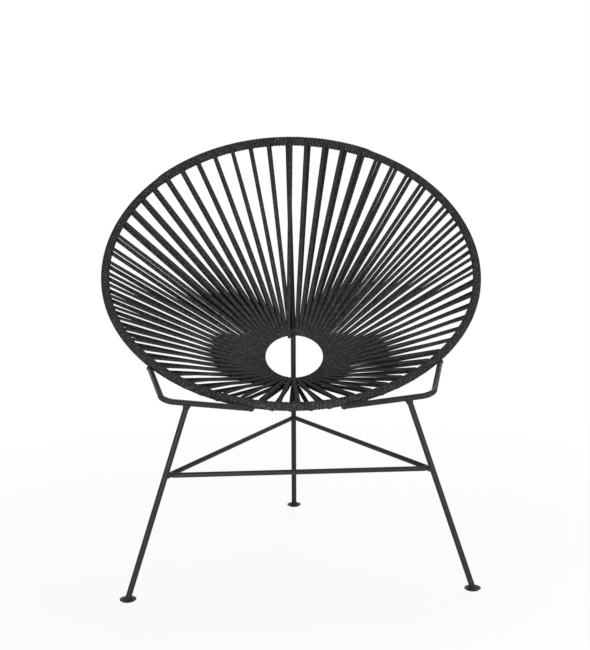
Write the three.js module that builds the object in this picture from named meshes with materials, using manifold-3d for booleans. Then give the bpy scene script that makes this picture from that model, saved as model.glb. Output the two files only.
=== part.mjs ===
// An Acapulco lounge chair. A round steel hoop, sloped and folded a little across its middle, is strung
// with cord down to a small ring. It stands on two front legs under bent brackets and on a rear leg
// that runs on up the back as a spine. A bent stretcher ties the three legs together.
// Millimetres, +Z up. The chair faces -Y. Places below are measured from the point on the floor that
// lies midway between the front feet, and the last lines move the origin under the chair's middle.

import * as THREE from 'three';
import { mergeVertices } from 'three/addons/utils/BufferGeometryUtils.js';
import Module from 'manifold-3d';

const wasm = await Module();
wasm.setup();

// Fit between pieces that are welded or wound together
const CLEARANCE = 0.3;

// Rod diameters
const LEG_ROD = 11;
const STRETCHER_ROD = 9.5;
const HOOP_ROD = 9.5;
const RING_ROD = 10.5;

// Hoop: centre line, slope of its plane, and the fold across its middle
const HOOP_WIDTH = 784;
const HOOP_LENGTH = 758.6;
const HOOP_SETBACK = 389.5;
const HOOP_HEIGHT = 574.8;
const HOOP_SLOPE = THREE.MathUtils.degToRad(40.7);
const HOOP_FOLD_SHARE = 0.0495;
const HOOP_FOLD_BLEND = 116;

// Ring at the bottom of the basket
const RING_WIDTH = 137.9;
const RING_SETBACK = 321.9;
const RING_HEIGHT = 392.8;
const RING_SLOPE = THREE.MathUtils.degToRad(39.1);

// Feet
const FOOT_SPACING = 644;
const REAR_FOOT_SETBACK = 558;
const FOOT_DISC = 31;
const FOOT_DISC_THICKNESS = 2;
const FOOT_DISC_EDGE = 0.6;
const GLIDE = 25;
const GLIDE_THICKNESS = 2;

// Brackets: each runs from the hoop's side, round one bend, to the hoop's front
const BRACKET_SPACING = 498.6;
const BRACKET_SETBACK = 3.3;
const BRACKET_HEIGHT = 374.5;
const BRACKET_BEND = 18;
const BRACKET_SIDE_ANGLE = THREE.MathUtils.degToRad(46);
const BRACKET_FRONT_ANGLE = THREE.MathUtils.degToRad(12.8);
const BRACKET_SIDE_TUCK = THREE.MathUtils.degToRad(45);
const BRACKET_FRONT_TUCK = THREE.MathUtils.degToRad(10);
const LEG_PERCH_SHARE = 0.274;

// Rear leg's bend at the ring
const SPINE_BEND = 30;

// Stretcher
const STRETCHER_HEIGHT = 230;
const STRETCHER_INSET = 6;
const STRETCHER_BEND = 7;

// Weld beads
const LEG_WELD = 16;
const STRETCHER_WELD = 11;

// Cord: its thickness, its width where it is pulled flat, and how far along a strand it starts to
// narrow towards the ring
const CORD = 4.6;
const STRAND_WIDTH = 9.2;
const NARROWING_SHARE = 0.7;

// The sleeve that the cord's turns make round the hoop, and where the strands leave it. The sleeve is
// thicker along the top of the hoop, between two angles.
const WRAP_THICKNESS = 3.85;
const CREST_RISE = 1.2;
const CREST_START = THREE.MathUtils.degToRad(152);
const CREST_END = THREE.MathUtils.degToRad(227);
const STRAND_RISE = 4.75;

// Spokes, counted from the spine over the right side to the front and back over the left side. Each
// zone has its count of spokes and the angles between them at the hoop and at the ring. A spoke is one
// upper strand and the lower strand that it turns into at the ring, which lags a little behind it.
const SPOKE_ZONES = [
  { spokes: 15, pitch: THREE.MathUtils.degToRad(6.36), ringPitch: THREE.MathUtils.degToRad(6) },
  { spokes: 22, pitch: THREE.MathUtils.degToRad(5.28), ringPitch: THREE.MathUtils.degToRad(5.82) },
  { spokes: 12, pitch: THREE.MathUtils.degToRad(5.04), ringPitch: THREE.MathUtils.degToRad(5.12) },
  { spokes: 7, pitch: THREE.MathUtils.degToRad(6.09), ringPitch: THREE.MathUtils.degToRad(5.4) },
  { spokes: 6, pitch: THREE.MathUtils.degToRad(6.43), ringPitch: THREE.MathUtils.degToRad(5.97) },
];
const LAG = THREE.MathUtils.degToRad(0.55);
const CORD_COUNT = 12;

// Facets
const ROD_SIDES = 10;
const HOOP_SIDES = 8;
const RING_SIDES = 8;
const RING_STEPS = 56;
const BEND_STEPS = 6;
const CORD_SIDES = 6;
const LOOP_STEPS = 6;
const WELD_SIDES = 8;
const FOOT_SIDES = 24;

// Worked out from the above
const FOOT_HEIGHT = GLIDE_THICKNESS + FOOT_DISC_THICKNESS;
const WRAP_BORE = HOOP_ROD / 2 + CLEARANCE;
const WRAP_RADIUS = WRAP_BORE + WRAP_THICKNESS;
const STRAND_RADIUS = WRAP_BORE + STRAND_RISE;
const LOOP_RADIUS = RING_ROD / 2 + CLEARANCE + CORD / 2;
const HOOP_NORMAL = new THREE.Vector3(0, -Math.sin(HOOP_SLOPE), Math.cos(HOOP_SLOPE));

// Materials
const powderCoat = new THREE.MeshStandardMaterial({ color: 0x2a2b2d, roughness: 0.45, metalness: 0.3 });
const cordBlack = new THREE.MeshStandardMaterial({ color: 0x202123, roughness: 0.85, metalness: 0 });
const rubber = new THREE.MeshStandardMaterial({ color: 0x151515, roughness: 0.9, metalness: 0 });

const chair = new THREE.Group();

function addPiece(name, geometry, material) {
  const mesh = new THREE.Mesh(geometry, material);
  mesh.name = name;
  chair.add(mesh);
  return mesh;
}

// Curves. Angle 0 is the front of the hoop or ring, and a quarter turn is its right side.

function hoopPoint(angle) {
  const along = (-HOOP_LENGTH / 2) * Math.cos(angle);
  const lift = HOOP_FOLD_SHARE * (Math.hypot(along, HOOP_FOLD_BLEND) - HOOP_FOLD_BLEND);
  return new THREE.Vector3(
    (HOOP_WIDTH / 2) * Math.sin(angle),
    HOOP_SETBACK + along * Math.cos(HOOP_SLOPE) - lift * Math.sin(HOOP_SLOPE),
    HOOP_HEIGHT + along * Math.sin(HOOP_SLOPE) + lift * Math.cos(HOOP_SLOPE),
  );
}

function ringPoint(angle) {
  const along = (-RING_WIDTH / 2) * Math.cos(angle);
  return new THREE.Vector3(
    (RING_WIDTH / 2) * Math.sin(angle),
    RING_SETBACK + along * Math.cos(RING_SLOPE),
    RING_HEIGHT + along * Math.sin(RING_SLOPE),
  );
}

function tangentOf(curvePoint, angle) {
  const nudge = 1e-4;
  return curvePoint(angle + nudge).sub(curvePoint(angle - nudge)).normalize();
}

// A route gives an extrusion its stations one by one, and keeps its section turned towards `up`.
// Without directions of its own, each station faces midway between the stretches that meet there.
// Shares stretch the section at each station, towards `up` and across it.
class Route extends THREE.Curve {
  constructor(points, up, { closed = false, directions = null, upShares, acrossShares } = {}) {
    super();
    this.points = closed ? [...points, points[0]] : points;
    this.up = up;
    this.isLoop = closed;
    this.directions = directions;
    this.upShares = upShares ?? this.points.map(() => 1);
    this.acrossShares = acrossShares ?? this.points.map(() => 1);
  }

  get steps() {
    return this.points.length - 1;
  }

  getPointAt(u) {
    return this.points[Math.round(u * this.steps)].clone();
  }

  tangentAt(index) {
    if (this.directions) return this.directions[index].clone();
    const last = this.steps;
    const before = index > 0 ? index - 1 : this.isLoop ? last - 1 : 0;
    const after = index < last ? index + 1 : this.isLoop ? 1 : last;
    const arriving = this.points[index].clone().sub(this.points[before]).normalize();
    const leaving = this.points[after].clone().sub(this.points[index]).normalize();
    return arriving.add(leaving).normalize();
  }

  computeFrenetFrames(segments) {
    const tangents = [];
    const normals = [];
    const binormals = [];
    for (let i = 0; i <= segments; i += 1) {
      const tangent = this.isLoop && i === segments ? tangents[0] : this.tangentAt(i);
      const normal = this.up.clone().addScaledVector(tangent, -this.up.dot(tangent)).normalize();
      tangents.push(tangent);
      binormals.push(tangent.clone().cross(normal).multiplyScalar(this.acrossShares[i]));
      normals.push(normal.multiplyScalar(this.upShares[i]));
    }
    return { tangents, normals, binormals };
  }
}

// Corner points with each inner corner rounded to a bend of the given radius
function bent(corners, radius, closed = false) {
  const count = corners.length;
  const points = [];
  corners.forEach((corner, i) => {
    if (!closed && (i === 0 || i === count - 1)) {
      points.push(corner.clone());
      return;
    }
    const arriving = corner.clone().sub(corners[(i + count - 1) % count]).normalize();
    const leaving = corners[(i + 1) % count].clone().sub(corner).normalize();
    const turn = arriving.angleTo(leaving);
    const start = corner.clone().addScaledVector(arriving, -radius * Math.tan(turn / 2));
    const outward = arriving.clone().multiplyScalar(Math.cos(turn)).sub(leaving).normalize();
    const centre = start.clone().addScaledVector(outward, -radius);
    for (let step = 0; step <= BEND_STEPS; step += 1) {
      const angle = (turn * step) / BEND_STEPS;
      points.push(centre.clone()
        .addScaledVector(outward, radius * Math.cos(angle))
        .addScaledVector(arriving, radius * Math.sin(angle)));
    }
  });
  return points;
}

function polygon(radius, sides) {
  const turn = (2 * Math.PI) / sides;
  return Array.from({ length: sides }, (_, i) => new THREE.Vector2(
    radius * Math.cos(i * turn),
    radius * Math.sin(i * turn),
  ));
}

// Extrudes a section along a route. A closed route has no end faces.
function sweep(shape, route) {
  const geometry = new THREE.ExtrudeGeometry(shape, {
    steps: route.steps,
    extrudePath: route,
    bevelEnabled: false,
  });
  if (!route.isLoop) return geometry;
  const walls = geometry.groups[1];
  const itemSize = geometry.attributes.position.itemSize;
  const from = walls.start * itemSize;
  const open = new THREE.BufferGeometry();
  const wallPositions = geometry.attributes.position.array.slice(from, from + walls.count * itemSize);
  open.setAttribute('position', new THREE.BufferAttribute(wallPositions, itemSize));
  return open;
}

function rod(route, diameter, sides = ROD_SIDES) {
  return sweep(new THREE.Shape(polygon(diameter / 2, sides)), route);
}

// Solids for cutting and joining

function solidOf(geometry) {
  const bare = geometry.clone();
  bare.deleteAttribute('normal');
  bare.deleteAttribute('uv');
  const merged = mergeVertices(bare, 1e-4);
  return new wasm.Manifold(new wasm.Mesh({
    numProp: 3,
    vertProperties: new Float32Array(merged.attributes.position.array),
    triVerts: new Uint32Array(merged.index.array),
  }));
}

function geometryOf(solid) {
  const mesh = solid.getMesh();
  const geometry = new THREE.BufferGeometry();
  geometry.setAttribute('position', new THREE.BufferAttribute(mesh.vertProperties, mesh.numProp));
  geometry.setIndex(new THREE.BufferAttribute(mesh.triVerts, 1));
  geometry.computeVertexNormals();
  return geometry;
}

function grown(route, diameter, sides = ROD_SIDES) {
  return solidOf(rod(route, diameter + 2 * CLEARANCE, sides));
}

function bead(place, diameter) {
  const ball = new THREE.SphereGeometry(diameter / 2, WELD_SIDES, WELD_SIDES / 2);
  ball.translate(place.x, place.y, place.z);
  return solidOf(ball);
}

// Spokes, and the gap between each spoke's lower strand and the next one's upper strand, as angles

function spokeAngles() {
  const spokes = [];
  let angle = Math.PI;
  let ringAngle = Math.PI;
  SPOKE_ZONES.forEach(({ spokes: count, pitch, ringPitch }) => {
    for (let i = 0; i < count; i += 1) {
      angle -= pitch;
      ringAngle -= ringPitch;
      spokes.push({ angle, ringAngle });
    }
  });
  return spokes;
}

const spokes = spokeAngles();
const gapAngles = [Math.PI];
for (let i = 1; i < spokes.length; i += 1) {
  gapAngles.push((spokes[i - 1].angle - LAG + spokes[i].angle) / 2);
}
gapAngles.push(-Math.PI);

// Hoop and ring

const hoopRoute = new Route(gapAngles.slice(0, -1).map(hoopPoint), HOOP_NORMAL, { closed: true });
addPiece('rim_hoop', rod(hoopRoute, HOOP_ROD, HOOP_SIDES), powderCoat);
const hoopCut = grown(hoopRoute, HOOP_ROD, HOOP_SIDES);

const ring = addPiece(
  'centre_ring',
  new THREE.TorusGeometry(RING_WIDTH / 2, RING_ROD / 2, RING_SIDES, RING_STEPS),
  powderCoat,
);
ring.position.set(0, RING_SETBACK, RING_HEIGHT);
ring.rotation.x = RING_SLOPE;

// Brackets. Both ends lie against the hoop's outer side, tucked under it by an angle.

function hoopSeat(angle, tuck) {
  const tangent = tangentOf(hoopPoint, angle);
  const outward = tangent.clone().cross(HOOP_NORMAL).normalize();
  const below = outward.clone().cross(tangent).normalize();
  const reach = (HOOP_ROD + LEG_ROD) / 2 + CLEARANCE;
  return hoopPoint(angle)
    .addScaledVector(outward, reach * Math.cos(tuck))
    .addScaledVector(below, -reach * Math.sin(tuck));
}

const bracketCorner = new THREE.Vector3(BRACKET_SPACING / 2, BRACKET_SETBACK, BRACKET_HEIGHT);
const bracketFront = hoopSeat(BRACKET_FRONT_ANGLE, BRACKET_FRONT_TUCK);
const bracketSide = hoopSeat(BRACKET_SIDE_ANGLE, BRACKET_SIDE_TUCK);
const perch = bracketCorner.clone().lerp(bracketFront, LEG_PERCH_SHARE);
const mirror = (point, side) => point.clone().setX(point.x * side);
const sides = { left: -1, right: 1 };
const UP = new THREE.Vector3(0, 0, 1);

function bracketRoute(side) {
  const corners = [bracketSide, bracketCorner, bracketFront].map((point) => mirror(point, side));
  return new Route(bent(corners, BRACKET_BEND), UP);
}

// Legs

function footCut(x, y) {
  const slab = new THREE.BoxGeometry(4 * LEG_ROD, 4 * LEG_ROD, 2 * LEG_ROD);
  slab.translate(x, y, FOOT_HEIGHT - LEG_ROD);
  return solidOf(slab);
}

// Carries a line from its upper point through the foot, so that the foot's end can be cut level
function belowFoot(foot, upper) {
  const down = foot.clone().sub(upper).normalize();
  return foot.clone().addScaledVector(down, LEG_ROD);
}

function frontLegRoute(side) {
  const foot = new THREE.Vector3(side * FOOT_SPACING / 2, 0, FOOT_HEIGHT);
  const top = mirror(perch, side);
  return new Route([belowFoot(foot, top), top], new THREE.Vector3(0, 1, 0));
}

const rearFoot = new THREE.Vector3(0, REAR_FOOT_SETBACK, FOOT_HEIGHT);
const hoopTop = hoopPoint(Math.PI);

// The rear leg touches the ring's rear edge in the middle of its bend, and then becomes the spine.
function rearLegCorners() {
  const touch = ringPoint(Math.PI);
  touch.y += (RING_ROD + LEG_ROD) / 2 + CLEARANCE;
  const arriving = touch.clone().sub(rearFoot);
  const leaving = hoopTop.clone().sub(touch);
  const turn = arriving.angleTo(leaving);
  const bendCorner = touch.clone();
  bendCorner.y -= SPINE_BEND * (1 / Math.cos(turn / 2) - 1);
  return [belowFoot(rearFoot, bendCorner), bendCorner, hoopTop];
}

const rearLegRoute = new Route(bent(rearLegCorners(), SPINE_BEND), new THREE.Vector3(1, 0, 0));
const rearLegCut = grown(rearLegRoute, LEG_ROD);
const bracketCuts = {};
const frontLegCuts = {};

Object.entries(sides).forEach(([name, side]) => {
  const route = bracketRoute(side);
  bracketCuts[name] = grown(route, LEG_ROD);
  addPiece(`bracket_${name}`, geometryOf(solidOf(rod(route, LEG_ROD)).subtract(hoopCut)), powderCoat);

  const legRoute = frontLegRoute(side);
  frontLegCuts[name] = grown(legRoute, LEG_ROD);
  const weldPlace = legRoute.points[1].clone();
  weldPlace.z -= LEG_ROD / 2;
  const leg = solidOf(rod(legRoute, LEG_ROD))
    .add(bead(weldPlace, LEG_WELD))
    .subtract(bracketCuts[name])
    .subtract(footCut(side * FOOT_SPACING / 2, 0));
  addPiece(`front_leg_${name}`, geometryOf(leg), powderCoat);
});

const rearLeg = solidOf(rod(rearLegRoute, LEG_ROD))
  .subtract(hoopCut)
  .subtract(footCut(0, REAR_FOOT_SETBACK));
addPiece('rear_leg_spine', geometryOf(rearLeg), powderCoat);

// Stretcher: one rod bent into a triangle inside the legs, with a weld at each corner

function atHeight(route, height) {
  const [lower, upper] = route.points;
  return lower.clone().lerp(upper, (height - lower.z) / (upper.z - lower.z));
}

const legPoints = [
  atHeight(frontLegRoute(sides.right), STRETCHER_HEIGHT),
  atHeight(rearLegRoute, STRETCHER_HEIGHT),
  atHeight(frontLegRoute(sides.left), STRETCHER_HEIGHT),
];
const middle = legPoints.reduce((sum, point) => sum.add(point), new THREE.Vector3())
  .divideScalar(legPoints.length);
const inwards = legPoints.map((point) => middle.clone().sub(point).normalize());
const stretcherCorners = legPoints.map((point, i) => (
  point.clone().addScaledVector(inwards[i], STRETCHER_INSET)));
const stretcherPoints = bent(stretcherCorners, STRETCHER_BEND, true);
const stretcherRoute = new Route(stretcherPoints, UP, { closed: true });
let stretcher = solidOf(rod(stretcherRoute, STRETCHER_ROD));
legPoints.forEach((point, i) => {
  const weldPlace = point.clone().addScaledVector(inwards[i], LEG_ROD / 2);
  stretcher = stretcher.add(bead(weldPlace, STRETCHER_WELD));
});
stretcher = stretcher
  .subtract(frontLegCuts.right)
  .subtract(frontLegCuts.left)
  .subtract(rearLegCut);
addPiece('stretcher', geometryOf(stretcher), powderCoat);

// Feet

function discProfile() {
  const radius = FOOT_DISC / 2;
  return [
    new THREE.Vector2(0, GLIDE_THICKNESS),
    new THREE.Vector2(radius - FOOT_DISC_EDGE, GLIDE_THICKNESS),
    new THREE.Vector2(radius, GLIDE_THICKNESS + FOOT_DISC_EDGE),
    new THREE.Vector2(radius, FOOT_HEIGHT - FOOT_DISC_EDGE),
    new THREE.Vector2(radius - FOOT_DISC_EDGE, FOOT_HEIGHT),
    new THREE.Vector2(0, FOOT_HEIGHT),
  ];
}

// A lathe turns about +Y, so its shape is stood up along +Z
function turned(profile) {
  return new THREE.LatheGeometry(profile, FOOT_SIDES).rotateX(Math.PI / 2);
}

const feet = {
  left: [-FOOT_SPACING / 2, 0],
  right: [FOOT_SPACING / 2, 0],
  rear: [0, REAR_FOOT_SETBACK],
};
Object.entries(feet).forEach(([name, [x, y]]) => {
  addPiece(`foot_disc_${name}`, turned(discProfile()), powderCoat).position.set(x, y, 0);
  const glide = new THREE.CylinderGeometry(GLIDE / 2, GLIDE / 2, GLIDE_THICKNESS, FOOT_SIDES);
  glide.rotateX(Math.PI / 2);
  addPiece(`foot_glide_${name}`, glide, rubber).position.set(x, y, GLIDE_THICKNESS / 2);
});

// Seat cord. Each length winds round its own stretch of the hoop and crosses to the ring and back.

// The direction across a strand and its hoop or ring, towards the sitter
function topSide(tangent, strand) {
  const side = tangent.clone().cross(strand).normalize();
  return side.dot(HOOP_NORMAL) < 0 ? side.negate() : side;
}

function strandFrame(angle, ringAngle) {
  const onHoop = hoopPoint(angle);
  const onRing = ringPoint(ringAngle);
  const strand = onRing.clone().sub(onHoop).normalize();
  const ringTangent = tangentOf(ringPoint, ringAngle);
  const ringTop = topSide(ringTangent, strand);
  return {
    onHoop,
    onRing,
    ringTangent,
    hoopTop: topSide(tangentOf(hoopPoint, angle), strand),
    ringTop,
    inward: strand.clone().addScaledVector(ringTangent, -strand.dot(ringTangent)).normalize(),
  };
}

// A spoke leaves the top of the hoop, runs to the ring, turns under it and comes back below. It is
// pulled flat at the hoop, and narrows to its own thickness at the ring.
function spokeRoute({ angle, ringAngle }) {
  const upper = strandFrame(angle, ringAngle);
  const lower = strandFrame(angle - LAG, ringAngle - LAG);
  const loop = [];
  for (let step = 0; step <= LOOP_STEPS; step += 1) {
    const share = step / LOOP_STEPS;
    const turn = Math.PI * (1 / 2 - share);
    const frame = strandFrame(angle - LAG * share, ringAngle - LAG * share);
    loop.push(frame.onRing.clone()
      .addScaledVector(frame.ringTop, LOOP_RADIUS * Math.sin(turn))
      .addScaledVector(frame.inward, LOOP_RADIUS * Math.cos(turn)));
  }
  const start = upper.onHoop.clone().addScaledVector(upper.hoopTop, STRAND_RADIUS);
  const end = lower.onHoop.clone().addScaledVector(lower.hoopTop, -STRAND_RADIUS);
  const narrowing = [
    start.clone().lerp(loop[0], NARROWING_SHARE),
    end.clone().lerp(loop[LOOP_STEPS], NARROWING_SHARE),
  ];
  const flat = STRAND_WIDTH / CORD;
  return new Route([start, narrowing[0], ...loop, narrowing[1], end], upper.ringTangent, {
    upShares: [flat, flat, ...loop.map(() => 1), flat, flat],
  });
}

function isCrest(angle) {
  const turned = THREE.MathUtils.euclideanModulo(angle, 2 * Math.PI);
  return turned > CREST_START && turned < CREST_END;
}

function wrapSleeve(firstSpoke, lastSpoke) {
  const endGap = CLEARANCE / HOOP_LENGTH;
  const angles = gapAngles.slice(firstSpoke, lastSpoke + 2);
  angles[0] -= endGap;
  angles[angles.length - 1] += endGap;
  const directions = angles.map((angle) => tangentOf(hoopPoint, angle).negate());
  const crest = (WRAP_RADIUS + CREST_RISE) / WRAP_RADIUS;
  const shares = angles.map((angle) => (isCrest(angle) ? crest : 1));
  const route = new Route(angles.map(hoopPoint), HOOP_NORMAL, {
    directions, upShares: shares, acrossShares: shares,
  });
  return solidOf(rod(route, 2 * WRAP_RADIUS, HOOP_SIDES)).subtract(hoopCut);
}

const spokeRoutes = spokes.map(spokeRoute);
const cordNumbers = spokes.map((_, i) => Math.floor((i * CORD_COUNT) / spokes.length));
for (let number = 0; cordNumbers.includes(number); number += 1) {
  const first = cordNumbers.indexOf(number);
  const last = cordNumbers.lastIndexOf(number);
  let cord = wrapSleeve(first, last);
  for (let i = first; i <= last; i += 1) {
    cord = cord.add(solidOf(rod(spokeRoutes[i], CORD, CORD_SIDES)));
  }
  cord = cord.subtract(rearLegCut).subtract(bracketCuts.left).subtract(bracketCuts.right);
  addPiece(`seat_cord_${String(number + 1).padStart(2, '0')}`, geometryOf(cord), cordBlack);
}

// Least gap between neighbouring spokes, measured on points along their centre lines
function alongRoute(route, spacing) {
  const points = [];
  for (let i = 0; i < route.steps; i += 1) {
    const from = route.points[i];
    const to = route.points[i + 1];
    const count = Math.max(1, Math.ceil(from.distanceTo(to) / spacing));
    for (let step = 0; step < count; step += 1) {
      points.push(from.clone().lerp(to, step / count));
    }
  }
  return points;
}

const measured = spokeRoutes.map((route) => alongRoute(route, CORD / 2));
let leastGap = Infinity;
measured.forEach((points, i) => {
  const next = measured[(i + 1) % measured.length];
  points.forEach((point) => next.forEach((other) => {
    leastGap = Math.min(leastGap, point.distanceTo(other) - CORD);
  }));
});
console.log(`least gap between neighbouring cords: ${leastGap.toFixed(2)} mm`);

// The origin lies on the floor under the middle of the chair's box.
const model = new THREE.Group();
model.add(chair);
const box = new THREE.Box3().setFromObject(chair, true);
chair.position.y = -(box.min.y + box.max.y) / 2;

export default model;
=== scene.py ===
"""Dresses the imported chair: powder-coated rods with their welds, feet, and the wound cord."""

import math

import bpy
from mathutils import Matrix, Vector


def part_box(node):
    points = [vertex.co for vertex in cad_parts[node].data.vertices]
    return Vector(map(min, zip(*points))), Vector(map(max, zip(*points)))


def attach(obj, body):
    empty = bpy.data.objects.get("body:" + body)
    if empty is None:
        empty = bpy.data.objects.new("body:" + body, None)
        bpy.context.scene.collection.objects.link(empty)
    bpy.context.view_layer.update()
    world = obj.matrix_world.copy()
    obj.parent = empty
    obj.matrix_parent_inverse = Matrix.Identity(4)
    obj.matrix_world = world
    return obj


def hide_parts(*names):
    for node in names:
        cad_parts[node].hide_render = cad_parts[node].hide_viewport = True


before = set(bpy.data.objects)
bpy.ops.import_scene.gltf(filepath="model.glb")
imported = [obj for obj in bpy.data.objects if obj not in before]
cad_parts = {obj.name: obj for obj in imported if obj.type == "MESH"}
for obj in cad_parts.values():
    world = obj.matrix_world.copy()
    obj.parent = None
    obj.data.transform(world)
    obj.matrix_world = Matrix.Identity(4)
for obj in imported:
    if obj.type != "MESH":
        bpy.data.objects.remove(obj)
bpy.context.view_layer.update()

bl_info = {
    "name": "Corded Lounge Chair",
    "version": (1, 0, 0),
    "blender": (4, 5, 0),
    "location": "View3D > Sidebar > Chair",
    "description": "Builds the rods, feet, wound cord and studio of a corded lounge chair",
    "category": "Add Mesh",
}

SPINE_ANGLE = math.pi
FULL_TURN = 2 * math.pi
SIDES = {"left": -1, "right": 1}


def foot_place(name):
    """The middle of a foot's underside, from the frame."""
    low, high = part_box(f"foot_glide_{name}")
    return Vector(((low.x + high.x) / 2, (low.y + high.y) / 2, low.z))


FRONT_LINE = foot_place("left").y


# Properties


def metres(name, description, default):
    """A length."""
    return bpy.props.FloatProperty(
        name=name, description=description, default=default, unit="LENGTH", precision=4
    )


def degrees(name, description, default):
    """An angle, with its default given in degrees."""
    return bpy.props.FloatProperty(
        name=name, description=description, default=math.radians(default), subtype="ANGLE"
    )


def pixels(name, description, default):
    """A size or place in the photograph."""
    return bpy.props.FloatProperty(
        name=name, description=description, default=default, subtype="PIXEL"
    )


def whole(name, description, default, least=1):
    """A count."""
    return bpy.props.IntProperty(name=name, description=description, default=default, min=least)


def share(name, description, default):
    """A share between 0 and 1."""
    return bpy.props.FloatProperty(
        name=name, description=description, default=default, min=0, max=1, subtype="FACTOR"
    )


def colour(name, description, value):
    """A linear colour."""
    return bpy.props.FloatVectorProperty(
        name=name, description=description, default=value, size=3, subtype="COLOR", min=0, max=1
    )


class HoopSizes(bpy.types.PropertyGroup):
    """The hoop's centre line, measured from the front feet"""

    width: metres("Width", "Across the hoop's centre line", 0.784)
    length: metres("Length", "Along the slope of the hoop's centre line", 0.7586)
    setback: metres("Setback", "From the front feet back to the hoop's middle", 0.3895)
    height: metres("Height", "Of the hoop's middle above the floor", 0.5748)
    slope: degrees("Slope", "Of the hoop's plane", 40.7)
    fold: share("Fold", "How steeply each half is folded up from the plane", 0.0495)
    fold_blend: metres("Fold Blend", "How far the fold is spread along the slope", 0.116)
    rod: metres("Rod", "The hoop rod's diameter", 0.0095)


class RingSizes(bpy.types.PropertyGroup):
    """The ring at the bottom of the basket"""

    width: metres("Width", "Across the ring's centre line", 0.1379)
    setback: metres("Setback", "From the front feet back to the ring's middle", 0.3219)
    height: metres("Height", "Of the ring's middle above the floor", 0.3928)
    slope: degrees("Slope", "Of the ring's plane", 39.1)
    rod: metres("Rod", "The ring rod's diameter", 0.0105)


class RodSizes(bpy.types.PropertyGroup):
    """Legs, brackets and stretcher"""

    leg: metres("Leg Rod", "Diameter of the legs and brackets", 0.011)
    stretcher: metres("Stretcher Rod", "Diameter of the stretcher", 0.0095)
    clearance: metres("Clearance", "Between pieces that touch", 0.0003)
    bracket_spacing: metres("Bracket Spacing", "Between the two brackets' corners", 0.4986)
    bracket_setback: metres("Bracket Setback", "Of the corner from the front feet", 0.0033)
    bracket_height: metres("Bracket Height", "Of the corner above the floor", 0.3745)
    bracket_bend: metres("Bracket Bend", "Radius of the bracket's bend", 0.018)
    bracket_side: degrees("Side Seat", "Where the bracket meets the hoop's side", 46)
    bracket_front: degrees("Front Seat", "Where the bracket meets the hoop's front", 12.8)
    side_tuck: degrees("Side Tuck", "How far the side end sits under the hoop", 45)
    front_tuck: degrees("Front Tuck", "How far the front end sits under the hoop", 10)
    perch: share("Perch", "Where the leg meets the bracket's front bar", 0.274)
    spine_bend: metres("Spine Bend", "Radius of the rear leg's bend at the ring", 0.030)
    stretcher_height: metres("Stretcher Height", "Of the stretcher above the floor", 0.230)
    stretcher_inset: metres("Stretcher Inset", "Of the corners from the legs", 0.006)
    stretcher_bend: metres("Stretcher Bend", "Radius of the stretcher's bends", 0.007)
    leg_weld: metres("Leg Weld", "Width of the weld on top of a leg", 0.0155)
    bracket_weld: metres("Bracket Weld", "Width of the weld at a bracket's end", 0.0125)
    stretcher_weld: metres("Stretcher Weld", "Width of a weld at the stretcher", 0.012)
    cut_edge: metres("Cut Edge", "Rounding of a rod's cut end", 0.0008)
    sides: whole("Facets", "Round a rod", 28, 8)


class FootSizes(bpy.types.PropertyGroup):
    """Foot discs, glides and the fillet under each leg"""

    disc: metres("Disc", "Diameter of the foot disc", 0.031)
    disc_thickness: metres("Disc Thickness", "Of the foot disc", 0.002)
    edge: metres("Edge", "Rounding of the disc's edge", 0.0007)
    glide: metres("Glide", "Diameter of the glide", 0.025)
    glide_thickness: metres("Glide Thickness", "Of the glide", 0.002)
    fillet: metres("Fillet", "Width and height of the weld round the leg's foot", 0.0035)


class CordSizes(bpy.types.PropertyGroup):
    """The cord, its turns round the hoop and its spokes"""

    width: metres("Strand Width", "Of a strand that is pulled flat", 0.0094)
    thickness: metres("Thickness", "Of a strand or a turn", 0.0042)
    ring_fill: share("Ring Fill", "How much of the ring the strands cover side by side", 0.97)
    narrowing: share("Narrowing", "Where along a strand it starts to narrow", 0.85)
    rise: metres("Rise", "From the hoop's centre line to a strand that leaves it", 0.0106)
    turn_width: metres("Turn Width", "Of one turn on the hoop", 0.0076)
    crest_thickness: metres("Crest Thickness", "Of a turn at the top of the hoop", 0.006)
    crest_start: degrees("Crest Start", "Where the thicker turns start, on the right", 152)
    crest_end: degrees("Crest End", "Where the thicker turns end, on the left", 227)
    ring_lag: degrees("Lag at Ring", "From a strand to its return", 0.3)
    end_angle: degrees("End Strand", "Where the cord's last strand leaves the hoop", 179.0)
    end_ring_angle: degrees("End Strand at Ring", "Where the last strand meets the ring", 189.0)
    count: whole("Cords", "Lengths of cord", 12)
    sides: whole("Facets", "Round the cord", 12)
    turn_steps: whole("Steps", "In one turn", 16)
    loop_steps: whole("Loop Steps", "Round the ring", 12)


class Finishes(bpy.types.PropertyGroup):
    """Colours of the finishes"""

    powder_coat: colour("Powder Coat", "Colour of the rods", (0.0205, 0.0206, 0.021))
    cord: colour("Cord", "Colour of the cord", (0.033, 0.0328, 0.0345))
    cord_fleck: colour("Cord Fleck", "Colour of the lighter yarns", (0.17, 0.17, 0.175))
    rubber: colour("Rubber", "Colour of the glides", (0.012, 0.012, 0.013))
    floor: colour("Floor", "Colour of the floor", (0.93, 0.93, 0.93))


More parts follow.
